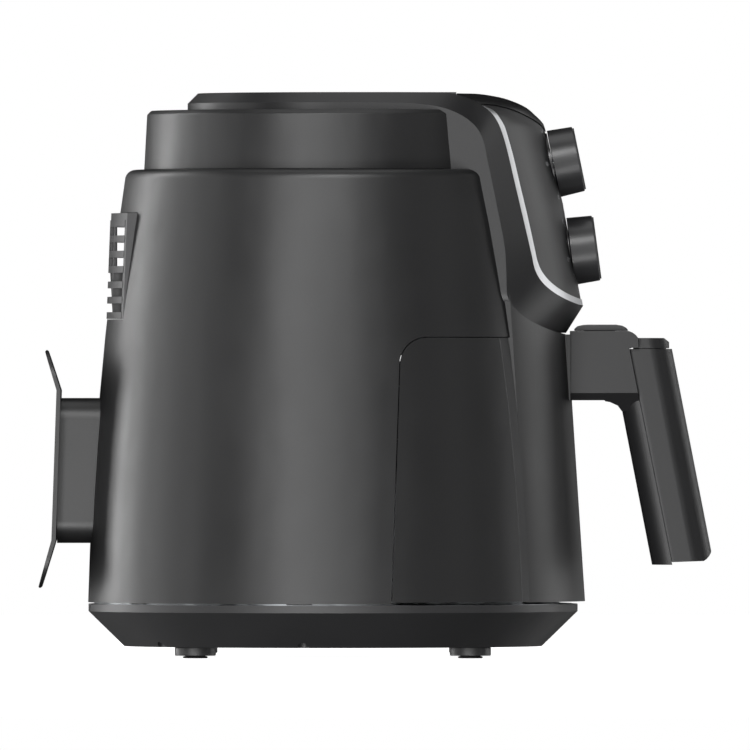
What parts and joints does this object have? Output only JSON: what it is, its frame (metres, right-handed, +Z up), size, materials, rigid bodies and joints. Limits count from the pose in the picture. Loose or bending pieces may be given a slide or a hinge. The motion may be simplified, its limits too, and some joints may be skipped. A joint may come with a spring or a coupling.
{
  "type": "air fryer",
  "caption": "Round black air fryer with a pull-out drawer and basket, front handle with guarded release button, stepped lid, dials on a curved panel and a rear cord bracket.",
  "frame": {"origin": "below the middle of the whole appliance, at the level of the surface that the feet stand on; the round body's axis is 23.7 mm behind it", "axes": "+Z up; the front with the dials and the handle faces -Y; +X to the right of a person who faces the dials"},
  "size_m": [0.2792, 0.3833, 0.3211],
  "materials": {
    "black_body": "satin moulded, fine grain",
    "black_housing": "satin moulded",
    "black_base": "satin moulded",
    "black_gloss": "polished black",
    "knob_black": "satin gloss",
    "grip_black": "satin, heat resistant",
    "trim_silver": "satin metallised",
    "button_grey": "satin",
    "rubber_black": "matt",
    "nonstick_black": "non-stick coating",
    "galvanised_steel": "galvanised sheet",
    "element_steel": "heat-stained tube",
    "aluminium_fan": "stamped sheet",
    "motor_steel": "laminated and drawn steel",
    "bright_steel": "bright zinc plated",
    "control_white": "moulded",
    "inner_black": "moulded, glass filled"
  },
  "bodies": {
    "housing": {"body_shell": "black_body", "top_cap": "black_body", "base_tray": "black_base", "chamber_floor": "inner_black", "feet": "black_base", "foot_pads": "rubber_black", "base_screws": "bright_steel", "control_housing": "black_housing", "control_panel": "black_housing", "crown_cover": "black_gloss", "trim_strip": "trim_silver", "dial_discs": "black_gloss", "rear_vent_grille": "black_body", "cord_bracket": "black_body", "cord_bracket_screws": "bright_steel", "mains_inlet": "rubber_black", "chamber_liner": "galvanised_steel", "chamber_dome": "galvanised_steel", "heating_element": "element_steel", "element_clips": "galvanised_steel", "motor": "motor_steel", "motor_bracket": "galvanised_steel", "motor_screws": "bright_steel", "air_duct": "galvanised_steel", "thermostat": "control_white", "timer": "control_white", "control_bracket": "galvanised_steel", "door_switch": "inner_black", "thermal_fuse": "control_white", "terminal_block": "control_white"},
    "fan": {"motor_shaft": "bright_steel", "fan_impeller": "aluminium_fan", "cooling_fan": "inner_black"},
    "temperature_dial": {"temperature_knob": "knob_black", "temperature_spindle": "bright_steel"},
    "timer_dial": {"timer_knob": "knob_black", "timer_spindle": "bright_steel"},
    "drawer": {"drawer_front": "black_body", "drawer_wraps": "black_body", "drawer_frame": "black_housing", "pan": "nonstick_black", "pan_screws": "bright_steel", "basket": "nonstick_black", "basket_bumpers": "rubber_black", "handle_mount": "galvanised_steel", "handle_mount_screws": "bright_steel", "handle_body": "grip_black", "handle_cover": "grip_black", "handle_cap": "black_gloss", "handle_screws": "bright_steel", "button_spring": "bright_steel"},
    "release_button": {"release_button": "button_grey"},
    "button_guard": {"button_guard": "black_gloss"}
  },
  "joints": [
    {"name": "fan_spin", "type": "hinge", "parent": "housing", "child": "fan", "pos_m": [0, 0.0237, 0.2], "axis": [0, 0, 1], "continuous": true},
    {"name": "temperature_turn", "type": "hinge", "parent": "housing", "child": "temperature_dial", "pos_m": [0, -0.1162, 0.2839], "axis": [0, 0.9799, -0.1994], "range_deg": [0, 270]},
    {"name": "timer_turn", "type": "hinge", "parent": "housing", "child": "timer_dial", "pos_m": [0, -0.1262, 0.2331], "axis": [0, 0.9912, -0.1323], "range_deg": [0, 300]},
    {"name": "drawer_slide", "type": "slide", "parent": "housing", "child": "drawer", "axis": [0, -1, 0], "range_m": [0, 0.24]},
    {"name": "button_press", "type": "slide", "parent": "drawer", "child": "release_button", "axis": [0, 0, -1], "range_m": [0, 0.0035], "stiffness_N_per_m": 400, "springref_m": -0.002, "deforming": ["button_spring"]},
    {"name": "guard_slide", "type": "slide", "parent": "drawer", "child": "button_guard", "axis": [0, -1, 0], "range_m": [0, 0.016]}
  ]
}
